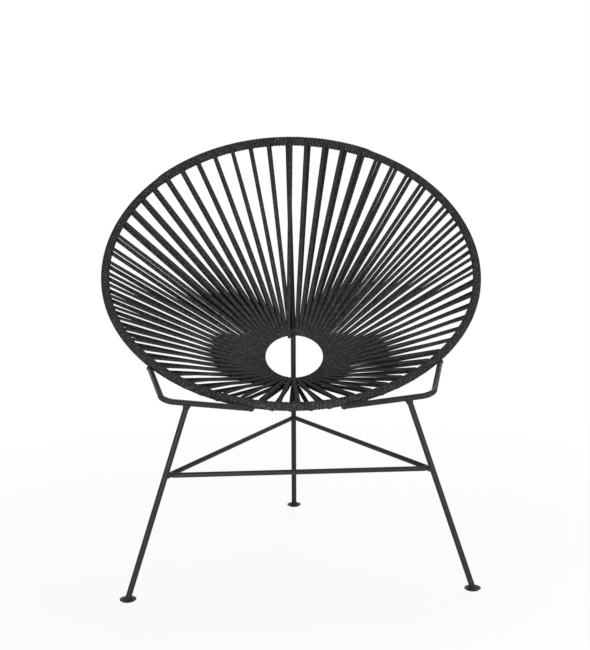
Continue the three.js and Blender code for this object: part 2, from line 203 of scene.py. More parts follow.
class Studio(bpy.types.PropertyGroup):
    """Camera and light"""

    image_width: pixels("Image Width", "Of the photograph", 590)
    image_height: pixels("Image Height", "Of the photograph", 650)
    focal_pixels: pixels("Focal Length", "Of the lens, in the photograph's pixels", 1283.23)
    centre_x: pixels("Centre X", "From the left to where the lens looks straight at", 341.41)
    centre_y: pixels("Centre Y", "From the top to where the lens looks straight at", 262.77)
    camera_x: metres("Camera X", "Of the camera from the chair's middle line", -0.0608)
    camera_back: metres("Camera Back", "Of the camera in front of the front feet", 2.3146)
    camera_height: metres("Camera Height", "Above the floor", 0.8869)
    yaw: degrees("Yaw", "Turned to the right of straight ahead", 3.5)
    pitch: degrees("Pitch", "Turned down from level", 6.48)
    roll: degrees("Roll", "Turned about the view", 0.59)


PROPERTY_GROUPS = {
    "chair_hoop": HoopSizes,
    "chair_ring": RingSizes,
    "chair_rods": RodSizes,
    "chair_feet": FootSizes,
    "chair_cord": CordSizes,
    "chair_finishes": Finishes,
    "chair_studio": Studio,
}

# The spokes, counted from the spine over the right side to the front and on over the left side:
# how many, the degrees between two of them at the hoop and at the ring, the degrees by which a
# strand's return lags behind it at the hoop, and the turns of cord between two of them
SPOKE_ZONES = (
    (15, 6.36, 6, 0.85, 6),
    (5, 5.28, 5.82, 0.7, 5),
    (10, 5.28, 5.82, 1.7, 5),
    (7, 5.28, 5.82, 2, 5),
    (6, 5.04, 5.12, 1.6, 5),
    (3, 5.04, 5.12, 1.2, 5),
    (3, 5.04, 5.12, 0.5, 5),
    (2, 6.09, 5.4, 0.3, 6),
    (5, 6.09, 5.4, 0.5, 6),
    (6, 6.43, 5.97, 0.5, 6),
)


# Node trees


class Socket:
    """A node's output that takes Python's arithmetic signs and adds a Math node for each."""

    def __init__(self, maker, socket):
        self.maker = maker
        self.socket = socket

    def math(self, operation, first, second=None):
        values = {0: first} if second is None else {0: first, 1: second}
        return self.maker.add("ShaderNodeMath", {"operation": operation}, values)

    def __add__(self, other):
        return self.math("ADD", self, other)

    __radd__ = __add__

    def __sub__(self, other):
        return self.math("SUBTRACT", self, other)

    def __rsub__(self, other):
        return self.math("SUBTRACT", other, self)

    def __mul__(self, other):
        return self.math("MULTIPLY", self, other)

    __rmul__ = __mul__

    def __truediv__(self, other):
        return self.math("DIVIDE", self, other)

    def __gt__(self, other):
        return self.math("GREATER_THAN", self, other)

    def __lt__(self, other):
        return self.math("LESS_THAN", self, other)

    def __abs__(self):
        return self.math("ABSOLUTE", self)

    def __pow__(self, other):
        return self.math("POWER", self, other)

    def sin(self):
        return self.math("SINE", self)

    def cos(self):
        return self.math("COSINE", self)

    def floor(self):
        return self.math("FLOOR", self)

    def vector(self, operation, other=None, key=1):
        """The same for a vector, with Vector Math nodes."""
        values = {0: self} if other is None else {0: self, key: other}
        return self.maker.add("ShaderNodeVectorMath", {"operation": operation}, values)

    def plus(self, other):
        return self.vector("ADD", other)

    def times(self, factor):
        return self.vector("SCALE", factor, "Scale")

    def cross(self, other):
        return self.vector("CROSS_PRODUCT", other)

    def normalized(self):
        return self.vector("NORMALIZE")


class NodeMaker:
    """Adds nodes to a tree. Settings are set first, then the values or links of the inputs."""

    def __init__(self, tree):
        self.tree = tree

    def add(self, kind, settings=None, inputs=None, output=0):
        node = self.tree.nodes.new(kind)
        for name, value in (settings or {}).items():
            setattr(node, name, value)
        for key, value in (inputs or {}).items():
            if isinstance(value, Socket):
                self.tree.links.new(value.socket, node.inputs[key])
            else:
                node.inputs[key].default_value = value
        return Socket(self, node.outputs[output]) if node.outputs else node

    def other(self, socket, name):
        """Another output of the same node."""
        return Socket(self, socket.socket.node.outputs[name])

    def smooth(self, value, low, high):
        """0 below low, 1 above high, and smooth between."""
        settings = {"interpolation_type": "SMOOTHSTEP"}
        return self.add("ShaderNodeMapRange", settings, {0: value, 1: low, 2: high, 3: 0, 4: 1})


def new_material(name):
    """An empty material and the maker of its nodes."""
    material = bpy.data.materials.new(name)
    material.use_nodes = True
    material.node_tree.nodes.clear()
    return material, NodeMaker(material.node_tree)


def finish_material(maker, bump, strength, distance, values):
    """Ends a material in a Principled shader with a bumped normal."""
    normal = maker.add(
        "ShaderNodeBump", {}, {"Height": bump, "Strength": strength, "Distance": distance}
    )
    shader = maker.add("ShaderNodeBsdfPrincipled", {}, {**values, "Normal": normal})
    maker.add("ShaderNodeOutputMaterial", {}, {"Surface": shader})


def mixed_colour(maker, factor, first, second):
    """A colour between two others."""
    settings = {"data_type": "RGBA"}
    return maker.add("ShaderNodeMix", settings, {0: factor, 6: first, 7: second}, output=2)


def opaque(value, factor=1):
    """A colour with its alpha, made lighter or darker by a factor."""
    return (*(channel * factor for channel in value), 1.0)


def chair_place(maker):
    """The place on the chair, in metres."""
    return maker.add("ShaderNodeTexCoord", output="Object")


def noise(maker, place, scale, detail, roughness=0.5):
    inputs = {"Vector": place, "Scale": scale, "Detail": detail, "Roughness": roughness}
    return maker.add("ShaderNodeTexNoise", {}, inputs)


def seen_ray(maker):
    """1 for what the camera sees straight or mirrored in a gloss, and 0 for other light."""
    ray = maker.add("ShaderNodeLightPath")
    return ray.math("MAXIMUM", ray, maker.other(ray, "Is Glossy Ray"))


# The powder coat's gloss, and how far its orange peel and its worn places change it
COAT_SPECULAR = 0.06
COAT_ROUGHNESS = 0.27
PEEL_ROUGHNESS = 0.06
WORN_ROUGHNESS = 0.08
WORN_SHARE = 0.5
WORN_TONE = 1.35


def powder_coat_material(finishes):
    """Satin black powder coat with its fine orange peel and faint handling marks."""
    material, maker = new_material("satin_powder_coat")
    place = chair_place(maker)
    peel = noise(maker, place, scale=900, detail=3, roughness=0.6)
    marks = noise(maker, place, scale=55, detail=4, roughness=0.7)
    worn = maker.smooth(marks, low=0.45, high=0.75)
    coat = finishes.powder_coat
    tone = mixed_colour(maker, worn * WORN_SHARE, opaque(coat), opaque(coat, WORN_TONE))
    roughness = COAT_ROUGHNESS + PEEL_ROUGHNESS * peel + WORN_ROUGHNESS * worn
    values = {
        "Base Color": tone, "Roughness": roughness, "Specular IOR Level": COAT_SPECULAR
    }
    finish_material(maker, peel, strength=0.06, distance=0.0004, values=values)
    return material


# The rubber's roughness, and how far its grain changes it and the tone
RUBBER_ROUGHNESS = 0.7
GRAIN_ROUGHNESS = 0.2
GRAIN_TONE = 2.2


def rubber_material(finishes):
    """Dull black rubber."""
    material, maker = new_material("dull_rubber")
    grain = noise(maker, chair_place(maker), scale=1400, detail=4)
    rubber = finishes.rubber
    tone = mixed_colour(maker, grain, opaque(rubber), opaque(rubber, GRAIN_TONE))
    values = {"Base Color": tone, "Roughness": RUBBER_ROUGHNESS + GRAIN_ROUGHNESS * grain}
    finish_material(maker, grain, strength=0.3, distance=0.0003, values=values)
    return material


# The braid: the length of its cells in metres and how many go round the cord, the painted shade in
# its grooves and the painted highlight on the yarns' crowns, as shares of the cord's colour, and
# the least share that a lighter yarn has of its own colour
BRAID_CELL_LENGTH = 0.003
BRAID_CARRIERS = 12
GROOVE_PAINTED_SHADE = 0.45
CROWN_PAINTED_HIGHLIGHT = 1.35
LEAST_FLECK = 0.4
# The cord's gloss, and how far its yarns and its uneven wear change it
CORD_SPECULAR = 0.01
CORD_ROUGHNESS = 0.74
CROWN_ROUGHNESS = 0.16
DRIFT_ROUGHNESS = 0.12
MEAN_NOISE = 0.5


def cord_material(finishes):
    """A round braid: two sets of yarns that cross in a diamond pattern, some of them lighter."""
    material, maker = new_material("braided_cord")
    uv = maker.add("ShaderNodeUVMap", {"uv_map": "UVMap"})
    along = maker.add("ShaderNodeSeparateXYZ", {}, {0: uv})
    around = maker.other(along, "Y") * BRAID_CARRIERS
    lengthwise = along / BRAID_CELL_LENGTH
    right_hand = lengthwise + around
    left_hand = lengthwise - around
    crown = abs((right_hand * math.pi).sin()) * abs((left_hand * math.pi).sin())
    cell = maker.add(
        "ShaderNodeCombineXYZ", {}, {0: right_hand.floor(), 1: left_hand.floor(), 2: 0.0}
    )
    chance = maker.add("ShaderNodeTexWhiteNoise", {"noise_dimensions": "3D"}, {0: cell})
    drift = noise(maker, chair_place(maker), scale=38, detail=3)
    fleck = maker.smooth(chance, low=0.72, high=0.98) * crown * (LEAST_FLECK + drift)
    cord = finishes.cord
    # Painted shade and highlight: the braid's height darkens the cord's colour in the grooves and
    # lightens it on the yarns' crowns
    shade = mixed_colour(maker, crown, opaque(cord, GROOVE_PAINTED_SHADE), opaque(cord, CROWN_PAINTED_HIGHLIGHT))
    tone = mixed_colour(maker, fleck, shade, opaque(finishes.cord_fleck))
    roughness = CORD_ROUGHNESS - CROWN_ROUGHNESS * crown + DRIFT_ROUGHNESS * (drift - MEAN_NOISE)
    values = {
        "Base Color": tone, "Roughness": roughness, "Specular IOR Level": CORD_SPECULAR
    }
    finish_material(maker, crown, strength=0.7, distance=0.0006, values=values)
    return material


# How much of the backdrop's white is in the floor under the chair, how far from the middle it
# starts to grow and where it is full, and the floor's width, all lengths in metres
FLOOR_GLOW = 0.9
FLOOR_LIT_RADIUS = 0.5
FLOOR_FADE_RADIUS = 1.3
FLOOR_SIZE = 60.0
WHITE = (1, 1, 1, 1)


def floor_material(finishes):
    """A pale floor that takes the chair's shadow and goes over into a white backdrop."""
    material, maker = new_material("studio_floor")
    distance = maker.other(chair_place(maker).vector("LENGTH"), "Value")
    far = maker.smooth(distance, FLOOR_LIT_RADIUS, FLOOR_FADE_RADIUS)
    glow = FLOOR_GLOW + (1 - FLOOR_GLOW) * far
    lit = maker.add("ShaderNodeBsdfDiffuse", {}, {0: opaque(finishes.floor)})
    white = maker.add("ShaderNodeEmission", {}, {0: WHITE, 1: 1.0})
    mixed = maker.add("ShaderNodeMixShader", {}, {0: glow * seen_ray(maker), 1: lit, 2: white})
    maker.add("ShaderNodeOutputMaterial", {}, {"Surface": mixed})
    return material


FINISH_MAKERS = {
    "satin_powder_coat": powder_coat_material,
    "dull_rubber": rubber_material,
    "braided_cord": cord_material,
    "studio_floor": floor_material,
}


def finish_named(name):
    """A finish's material, made on its first use. Its name differs from the slots' names, which
    the CAD's own plain materials have."""
    (finishes,) = sizes_of("finishes")
    return bpy.data.materials.get(name) or FINISH_MAKERS[name](finishes)


# Geometry Nodes trees


def new_geometry_tree(name, inputs):
    """A Geometry Nodes tree with a Geometry input and output and the named inputs given."""
    tree = bpy.data.node_groups.new(name, "GeometryNodeTree")
    interface = tree.interface
    interface.new_socket("Geometry", in_out="INPUT", socket_type="NodeSocketGeometry")
    for label, kind in inputs.items():
        interface.new_socket(label, in_out="INPUT", socket_type=f"NodeSocket{kind}")
    interface.new_socket("Geometry", in_out="OUTPUT", socket_type="NodeSocketGeometry")
    maker = NodeMaker(tree)
    entry = maker.add("NodeGroupInput")
    return tree, maker, lambda label: maker.other(entry, label)


def captured(maker, geometry, **fields):
    """Stores fields on a geometry's points, and returns the geometry and the stored fields."""
    node = maker.tree.nodes.new("GeometryNodeCaptureAttribute")
    maker.tree.links.new(geometry.socket, node.inputs[0])
    for number, (label, (kind, field)) in enumerate(fields.items(), 1):
        node.capture_items.new(kind, label)
        maker.tree.links.new(field.socket, node.inputs[number])
    stored = [Socket(maker, node.outputs[number]) for number in range(1, len(fields) + 1)]
    return Socket(maker, node.outputs[0]), *stored


def rounded_axis(value, fullness):
    """A sine or cosine pushed outwards, so that the section is fuller than an ellipse."""
    sign = value.math("SIGN", value)
    return sign * abs(value) ** fullness


# Any radius will do, because each point of the section is placed afterwards
SECTION_RADIUS = 0.001
# The face that closes the section has corners at turn 0, which count as turn 1 in the UV map. It
# is the one whose mean turn is far from 0
SEAM_TURN = 0.01
SEAM_FACE_TURN = 0.3
# Only the end caps have more corners, and they stay flat
QUAD_CORNERS = 4


def swept(maker, curve, out, width, thickness, given):
    """Sweeps an oval section along a curve, its thickness along `out` and its width across it.
    The UV map has metres along the curve, and turns round the section."""
    tangent = maker.add("GeometryNodeInputTangent")
    across = tangent.cross(out).normalized()
    above = across.cross(tangent)
    spline = maker.add("GeometryNodeSplineParameter")
    curve, centre, across, above, along = captured(
        maker,
        curve,
        centre=("VECTOR", maker.add("GeometryNodeInputPosition")),
        across=("VECTOR", across.times(width * 0.5)),
        above=("VECTOR", above.times(thickness * 0.5)),
        along=("FLOAT", maker.other(spline, "Length")),
    )
    ring = maker.add(
        "GeometryNodeCurvePrimitiveCircle",
        {"mode": "RADIUS"},
        {"Resolution": given("Sides"), "Radius": SECTION_RADIUS},
    )
    ring, around = captured(maker, ring, around=("FLOAT", maker.other(spline, "Factor")))
    mesh = maker.add(
        "GeometryNodeCurveToMesh", {}, {"Curve": curve, "Profile Curve": ring, "Fill Caps": True}
    )
    turn = around * FULL_TURN
    wide = rounded_axis(turn.cos(), given("Fullness"))
    high = rounded_axis(turn.sin(), given("Fullness"))
    place = centre.plus(across.times(wide)).plus(above.times(high))
    mesh = maker.add("GeometryNodeSetPosition", {}, {"Geometry": mesh, "Position": place})
    face_mean = maker.add(
        "GeometryNodeFieldOnDomain", {"data_type": "FLOAT", "domain": "FACE"}, {0: around}
    )
    wrapped = around + (around < SEAM_TURN) * (face_mean > SEAM_FACE_TURN)
    uv = maker.add("ShaderNodeCombineXYZ", {}, {0: along, 1: wrapped, 2: 0.0})
    mesh = maker.add(
        "GeometryNodeStoreNamedAttribute",
        {"data_type": "FLOAT2", "domain": "CORNER"},
        {"Geometry": mesh, "Name": "UVMap", "Value": uv},
    )
    corners = maker.add("GeometryNodeInputMeshFaceNeighbors")
    is_quad = corners < QUAD_CORNERS + 1
    smooth = maker.add(
        "GeometryNodeSetShadeSmooth", {}, {"Geometry": mesh, "Shade Smooth": is_quad}
    )
    real = maker.add("GeometryNodeRealizeInstances", {}, {"Geometry": smooth})
    dressed = maker.add(
        "GeometryNodeSetMaterial", {}, {"Geometry": real, "Material": given("Material")}
    )
    maker.add("NodeGroupOutput", {}, {"Geometry": dressed})


def attribute_of(maker, name, kind="FLOAT"):
    return maker.add("GeometryNodeInputNamedAttribute", {"data_type": kind}, {"Name": name})


def path_sweep_tree():
    """Sweeps a section along polylines. Their points have the attributes width, thickness and
    out, the way that the thickness lies."""
    tree, maker, given = new_geometry_tree(
        "path_sweep", {"Sides": "Int", "Fullness": "Float", "Material": "Material"}
    )
    curve = maker.add("GeometryNodeMeshToCurve", {}, {"Mesh": given("Geometry")})
    out = attribute_of(maker, "out", "FLOAT_VECTOR")
    width, thickness = attribute_of(maker, "width"), attribute_of(maker, "thickness")
    swept(maker, curve, out, width, thickness, given)
    return tree


def rim_winding_tree():
    """Winds a cord round the hoop's line. Attribute turns counts the turns at each point, and
    attribute thickness is the cord's thickness there."""
    tree, maker, given = new_geometry_tree(
        "rim_winding",
        {
            "Rod Radius": "Float",
            "Turn Width": "Float",
            "Plane Normal": "Vector",
            "Points": "Int",
            "Sides": "Int",
            "Fullness": "Float",
            "Material": "Material",
        },
    )
    curve = maker.add("GeometryNodeMeshToCurve", {}, {"Mesh": given("Geometry")})
    curve = maker.add(
        "GeometryNodeResampleCurve", {}, {"Curve": curve, "Count": given("Points")}
    )
    tangent = maker.add("GeometryNodeInputTangent")
    outward = given("Plane Normal").cross(tangent).normalized()
    upward = tangent.cross(outward)
    phase = attribute_of(maker, "turns") * FULL_TURN
    radial = outward.times(phase.cos()).plus(upward.times(phase.sin()))
    curve, radial, thickness = captured(
        maker,
        curve,
        radial=("VECTOR", radial),
        thickness=("FLOAT", attribute_of(maker, "thickness")),
    )
    offset = radial.times(given("Rod Radius") + thickness * 0.5)
    curve = maker.add("GeometryNodeSetPosition", {}, {"Geometry": curve, "Offset": offset})
    swept(maker, curve, radial, given("Turn Width"), thickness, given)
    return tree


def polyline_mesh(name, paths, attributes, closed=False):
    """A mesh of polylines. The attributes' numbers or vectors go on its points."""
    points = [tuple(point) for path in paths for point in path]
    edges = []
    start = 0
    for path in paths:
        edges += [(start + i, start + i + 1) for i in range(len(path) - 1)]
        if closed:
            edges.append((start + len(path) - 1, start))
        start += len(path)
    mesh = bpy.data.meshes.new(name)
    mesh.from_pydata(points, edges, [])
    for label, values in attributes.items():
        if isinstance(values[0], Vector):
            flat = [number for vector in values for number in vector]
            mesh.attributes.new(label, "FLOAT_VECTOR", "POINT").data.foreach_set("vector", flat)
        else:
            mesh.attributes.new(label, "FLOAT", "POINT").data.foreach_set("value", values)
    return mesh


def run_tree(name, mesh, tree, inputs):
    """The plain mesh that a tree makes of a mesh."""
    source = bpy.data.objects.new(name, mesh)
    bpy.context.scene.collection.objects.link(source)
    modifier = source.modifiers.new(tree.name, "NODES")
    modifier.node_group = tree
    identifiers = {item.name: item.identifier for item in tree.interface.items_tree
                   if item.in_out == "INPUT"}
    for label, value in inputs.items():
        modifier[identifiers[label]] = value
    depsgraph = bpy.context.evaluated_depsgraph_get()
    made = bpy.data.meshes.new_from_object(source.evaluated_get(depsgraph), depsgraph=depsgraph)
    bpy.data.objects.remove(source)
    bpy.data.meshes.remove(mesh)
    made.name = name
    return made


def tree_named(name, build):
    return bpy.data.node_groups.get(name) or build()


def rod_mesh(name, path, diameters, sides, material, closed=False):
    """A round rod along a path. One diameter holds all along, and a list has one for each point."""
    if not isinstance(diameters, list):
        diameters = [diameters] * len(path)
    steady = (path[1] - path[0]).orthogonal().normalized()
    outs = []
    for i in range(len(path)):
        before = path[i - 1] if i or closed else path[0]
        after = path[(i + 1) % len(path)] if i < len(path) - 1 or closed else path[i]
        along = (after - before).normalized()
        steady = (steady - along * steady.dot(along)).normalized()
        outs.append(steady)
    attributes = {"width": diameters, "thickness": diameters, "out": outs}
    mesh = polyline_mesh(name, [path], attributes, closed)
    tree = tree_named("path_sweep", path_sweep_tree)
    return run_tree(name, mesh, tree, {"Sides": sides, "Fullness": 1.0, "Material": material})


# Angles at the points of a rounded edge: a rod's end, a disc's rim and a foot's weld
ROD_EDGE = (0, 0.5, 1.05, math.pi / 2)
DISC_EDGE = (0, 0.5, 1.05, 1.57)
FILLET_EDGE = (0, 0.4, 0.8, 1.2, 1.57)


def cut_rod(path, diameter, edge):
    """A path and its diameters, with both of the rod's ends rounded at their edge."""
    start = (path[1] - path[0]).normalized()
    end = (path[-1] - path[-2]).normalized()
    rounding = [(1 - math.cos(turn), 1 - math.sin(turn)) for turn in ROD_EDGE]
    points = [path[0] + start * edge * along for along, _ in rounding]
    points += path[1:-1]
    points += [path[-1] - end * edge * along for along, _ in reversed(rounding)]
    ends = [diameter - 2 * edge * inset for _, inset in rounding]
    return points, [*ends, *([diameter] * (len(path) - 2)), *reversed(ends)]


def join_meshes(name, meshes):
    """One object from several meshes, with their materials and UV maps kept."""
    objects = [bpy.data.objects.new(mesh.name, mesh) for mesh in meshes]
    for item in objects:
        bpy.context.scene.collection.objects.link(item)
    if len(objects) > 1:
        with bpy.context.temp_override(
            active_object=objects[0], selected_editable_objects=objects
        ):
            bpy.ops.object.join()
    piece = objects[0]
    piece.name = name
    piece.data.name = name
    return piece


def settle(piece, slot, *nodes):
    """Puts a finished piece on the chair in place of its CAD nodes."""
    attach(piece, "root")
    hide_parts(*nodes)


# The chair's lines


def sizes_of(*labels):
    """The property groups with these names."""
    return [getattr(bpy.context.scene, f"chair_{label}") for label in labels]


def from_feet(x, back, height):
    """A place in the frame, measured from between the front feet."""
    return Vector((x, FRONT_LINE + back, height))


def hoop_normal(hoop):
    return Vector((0, -math.sin(hoop.slope), math.cos(hoop.slope)))


def hoop_point(hoop, place):
    """A point of the hoop's centre line. Angle 0 is the front, a quarter turn the right side."""
    along = -hoop.length / 2 * math.cos(place)
    lift = hoop.fold * (math.hypot(along, hoop.fold_blend) - hoop.fold_blend)
    return from_feet(
        hoop.width / 2 * math.sin(place),
        hoop.setback + along * math.cos(hoop.slope) - lift * math.sin(hoop.slope),
        hoop.height + along * math.sin(hoop.slope) + lift * math.cos(hoop.slope),
    )


def ring_point(ring, place):
    along = -ring.width / 2 * math.cos(place)
    return from_feet(
        ring.width / 2 * math.sin(place),
        ring.setback + along * math.cos(ring.slope),
        ring.height + along * math.sin(ring.slope),
    )


# Half the angle between the two points that give a line's direction
NUDGE = 1e-4


def tangent_of(curve, sizes, place):
    return (curve(sizes, place + NUDGE) - curve(sizes, place - NUDGE)).normalized()


# Stretches in one bend
BEND_STEPS = 10


def bent(corners, radius, closed=False):
    """Corner points with each inner corner rounded to a bend."""
    points = []
    count = len(corners)
    for i, corner in enumerate(corners):
        if not closed and i in (0, count - 1):
            points.append(corner.copy())
            continue
        arriving = (corner - corners[i - 1]).normalized()
        leaving = (corners[(i + 1) % count] - corner).normalized()
        turn = arriving.angle(leaving)
        start = corner - arriving * radius * math.tan(turn / 2)
        outward = (arriving * math.cos(turn) - leaving).normalized()
        centre = start - outward * radius
        for step in range(BEND_STEPS + 1):
            at = turn * step / BEND_STEPS
            point = centre + outward * radius * math.cos(at) + arriving * radius * math.sin(at)
            points.append(point)
    return points


def hoop_seat(hoop, rods, place, tuck):
    """Where a bracket's end lies against the hoop's outer side, tucked under it."""
    tangent = tangent_of(hoop_point, hoop, place)
    outward = tangent.cross(hoop_normal(hoop)).normalized()
    below = outward.cross(tangent).normalized()
    reach = (hoop.rod + rods.leg) / 2 + rods.clearance
    beside = hoop_point(hoop, place) + outward * reach * math.cos(tuck)
    return beside - below * reach * math.sin(tuck)


def mirrored(point, side):
    return Vector((point.x * side, point.y, point.z))


def bracket_corners(hoop, rods):
    corner = from_feet(rods.bracket_spacing / 2, rods.bracket_setback, rods.bracket_height)
    side_end = hoop_seat(hoop, rods, rods.bracket_side, rods.side_tuck)
    front_end = hoop_seat(hoop, rods, rods.bracket_front, rods.front_tuck)
    return [side_end, corner, front_end]


def front_leg_line(hoop, rods, feet, side):
    """The foot and the top of a front leg."""
    _, corner, front_end = bracket_corners(hoop, rods)
    foot = foot_place("right")
    foot.z = feet.glide_thickness + feet.disc_thickness
    return [mirrored(foot, side), mirrored(corner.lerp(front_end, rods.perch), side)]


def rear_leg_corners(hoop, ring, rods, feet):
    """The rear leg touches the ring's rear edge in its bend, and then becomes the spine."""
    foot = foot_place("rear")
    foot.z = feet.glide_thickness + feet.disc_thickness
    top = hoop_point(hoop, SPINE_ANGLE)
    touch = ring_point(ring, SPINE_ANGLE)
    touch.y += (ring.rod + rods.leg) / 2 + rods.clearance
    turn = (touch - foot).angle(top - touch)
    touch.y -= rods.spine_bend * (1 / math.cos(turn / 2) - 1)
    return [foot, touch, top]


def at_height(line, height):
    """Where a leg's lowest stretch has a height."""
    lower, upper = line[:2]
    return lower.lerp(upper, (height - lower.z) / (upper.z - lower.z))


# A flare's profile: how far below the joint, in widths of the rod, and how full it is there
FLARE_PROFILE = (
    (0.1, 0), (0.25, 0.55), (0.4, 0.93), (0.5, 1), (0.62, 0.8), (0.78, 0.45), (0.95, 0.2),
    (1.15, 0.06), (1.35, 0),
)
FLARE_SIDES = 28
# The flare's thin ends lie just inside the rod
FLARE_END = 0.99


def weld_flare(name, rod_line, rod_width, width, material):
    """A weld round the top of a rod that butts against another rod of the same width. Its widest
    part lies against the other rod's underside."""
    down = (rod_line[0] - rod_line[1]).normalized()
    path = []
    diameters = []
    for below, fullness in FLARE_PROFILE:
        path.append(rod_line[1] + down * rod_width * below)
        thin = rod_width * FLARE_END
        diameters.append(thin + (width - thin) * fullness)
    return rod_mesh(name, path, diameters, FLARE_SIDES, material)


# A bead's sections, the height and spacing of its ripples, and the width of its tips
BEAD_STEPS = 12
BEAD_SIDES = 20
RIPPLE_HEIGHT = 0.05
RIPPLE_TURN = 2.4
BEAD_TIP = 0.02


def weld_bead(name, place, direction, width, material):
    """A lumpy weld: a short bead, thick in the middle, along a direction."""
    path = []
    diameters = []
    for step in range(BEAD_STEPS + 1):
        turn = math.pi * step / BEAD_STEPS
        path.append(place - direction.normalized() * width / 2 * math.cos(turn))
        ripple = 1 + RIPPLE_HEIGHT * math.sin(step * RIPPLE_TURN)
        diameters.append(width * max(BEAD_TIP, math.sin(turn)) * ripple)
    return rod_mesh(name, path, diameters, BEAD_SIDES, material)


def lathe_mesh(name, profile, centre, sides, material):
    """Turns a profile of (radius, height) points about a standing axis."""
    vertices = []
    faces = []
    for radius, height in profile:
        for i in range(sides):
            turn = FULL_TURN * i / sides
            vertices.append(
                (centre.x + radius * math.cos(turn), centre.y + radius * math.sin(turn), height)
            )
    for row in range(len(profile) - 1):
        for i in range(sides):
            after = (i + 1) % sides
            low, high = row * sides, (row + 1) * sides
            faces.append((low + i, low + after, high + after, high + i))
    faces.append(tuple(range(sides - 1, -1, -1)))
    last = (len(profile) - 1) * sides
    faces.append(tuple(range(last, last + sides)))
    mesh = bpy.data.meshes.new(name)
    mesh.from_pydata(vertices, [], faces)
    mesh.materials.append(material)
    mesh.shade_smooth()
    return mesh


# Operators


class ChairOperator:
    """What all of the chair's operators share"""

    bl_options = {"REGISTER", "UNDO"}


# Points along the closed rods
HOOP_STEPS = 240
RING_STEPS = 96


class CHAIR_OT_hoop_and_ring(ChairOperator, bpy.types.Operator):
    """Build the smooth rods of the hoop and the ring"""

    bl_idname = "chair.hoop_and_ring"
    bl_label = "Hoop and Ring"

    def execute(self, context):
        hoop, ring, rods = sizes_of("hoop", "ring", "rods")
        coat = finish_named("satin_powder_coat")
        for name, curve, part, steps, node in (
            ("hoop_rod", hoop_point, hoop, HOOP_STEPS, "rim_hoop"),
            ("ring_rod", ring_point, ring, RING_STEPS, "centre_ring"),
        ):
            points = [curve(part, FULL_TURN * i / steps) for i in range(steps)]
            mesh = rod_mesh(name, points, part.rod, rods.sides, coat, closed=True)
            settle(join_meshes(name, [mesh]), "powder_coat", node)
        return {"FINISHED"}


class CHAIR_OT_brackets(ChairOperator, bpy.types.Operator):
    """Build the two bent brackets between the hoop and the front legs"""

    bl_idname = "chair.brackets"
    bl_label = "Brackets"

    def execute(self, context):
        hoop, rods = sizes_of("hoop", "rods")
        coat = finish_named("satin_powder_coat")
        for label, side in SIDES.items():
            corners = [mirrored(point, side) for point in bracket_corners(hoop, rods)]
            path, diameters = cut_rod(bent(corners, rods.bracket_bend), rods.leg, rods.cut_edge)
            name = f"bracket_rod_{label}"
            mesh = rod_mesh(name, path, diameters, rods.sides, coat)
            welds = [
                weld_bead("weld", corners[end], corners[end] - corners[1], rods.bracket_weld, coat)
                for end in (0, -1)
            ]
            settle(join_meshes(name, [mesh, *welds]), "powder_coat", f"bracket_{label}")
        return {"FINISHED"}


FILLET_SIDES = 32
# Where the weld's end faces start inside the leg, in widths of the leg
FILLET_INNER = 0.4


class CHAIR_OT_legs(ChairOperator, bpy.types.Operator):
    """Build the front legs, the rear leg with its spine, and their welds"""

    bl_idname = "chair.legs"
    bl_label = "Legs"

    def execute(self, context):
        hoop, ring, rods, feet = sizes_of("hoop", "ring", "rods", "feet")
        coat = finish_named("satin_powder_coat")
        for label, side in SIDES.items():
            line = front_leg_line(hoop, rods, feet, side)
            name = f"leg_rod_{label}"
            rod = rod_mesh(name, line, rods.leg, rods.sides, coat)
            weld = weld_flare("weld", line, rods.leg, rods.leg_weld, coat)
            piece = join_meshes(name, [rod, weld, self.fillet(line[0], rods, feet, coat)])
            settle(piece, "powder_coat", f"front_leg_{label}")
        path = bent(rear_leg_corners(hoop, ring, rods, feet), rods.spine_bend)
        name = "rear_leg_rod"
        rod = rod_mesh(name, path, rods.leg, rods.sides, coat)
        piece = join_meshes(name, [rod, self.fillet(path[0], rods, feet, coat)])
        settle(piece, "powder_coat", "rear_leg_spine")
        return {"FINISHED"}

    @staticmethod
    def fillet(foot, rods, feet, coat):
        """The weld round the leg's foot on its disc."""
        inner = rods.leg * FILLET_INNER
        profile = [
            (rods.leg / 2 + feet.fillet * math.cos(turn), foot.z + feet.fillet * math.sin(turn))
            for turn in FILLET_EDGE
        ]
        profile = [(inner, foot.z), *profile, (inner, foot.z + feet.fillet)]
        return lathe_mesh("fillet", profile, foot, FILLET_SIDES, coat)


class CHAIR_OT_stretcher(ChairOperator, bpy.types.Operator):
    """Build the bent stretcher with a weld at each leg"""

    bl_idname = "chair.stretcher"
    bl_label = "Stretcher"

    def execute(self, context):
        hoop, ring, rods, feet = sizes_of("hoop", "ring", "rods", "feet")
        coat = finish_named("satin_powder_coat")
        on_legs = [
            at_height(front_leg_line(hoop, rods, feet, 1), rods.stretcher_height),
            at_height(rear_leg_corners(hoop, ring, rods, feet), rods.stretcher_height),
            at_height(front_leg_line(hoop, rods, feet, -1), rods.stretcher_height),
        ]
        middle = sum(on_legs, Vector()) / len(on_legs)
        inwards = [(middle - point).normalized() for point in on_legs]
        corners = [
            point + inward * rods.stretcher_inset for point, inward in zip(on_legs, inwards)
        ]
        points = bent(corners, rods.stretcher_bend, closed=True)
        mesh = rod_mesh("stretcher_rod", points, rods.stretcher, rods.sides, coat, closed=True)
        upright = Vector((0, 0, 1))
        welds = [
            weld_bead("weld", point + inward * rods.leg / 2, upright, rods.stretcher_weld, coat)
            for point, inward in zip(on_legs, inwards)
        ]
        settle(join_meshes("stretcher_rod", [mesh, *welds]), "powder_coat", "stretcher")
        return {"FINISHED"}


DISC_SIDES = 64
# The radius at which the disc's flat faces start, as a share of its own
DISC_INNER = 0.5


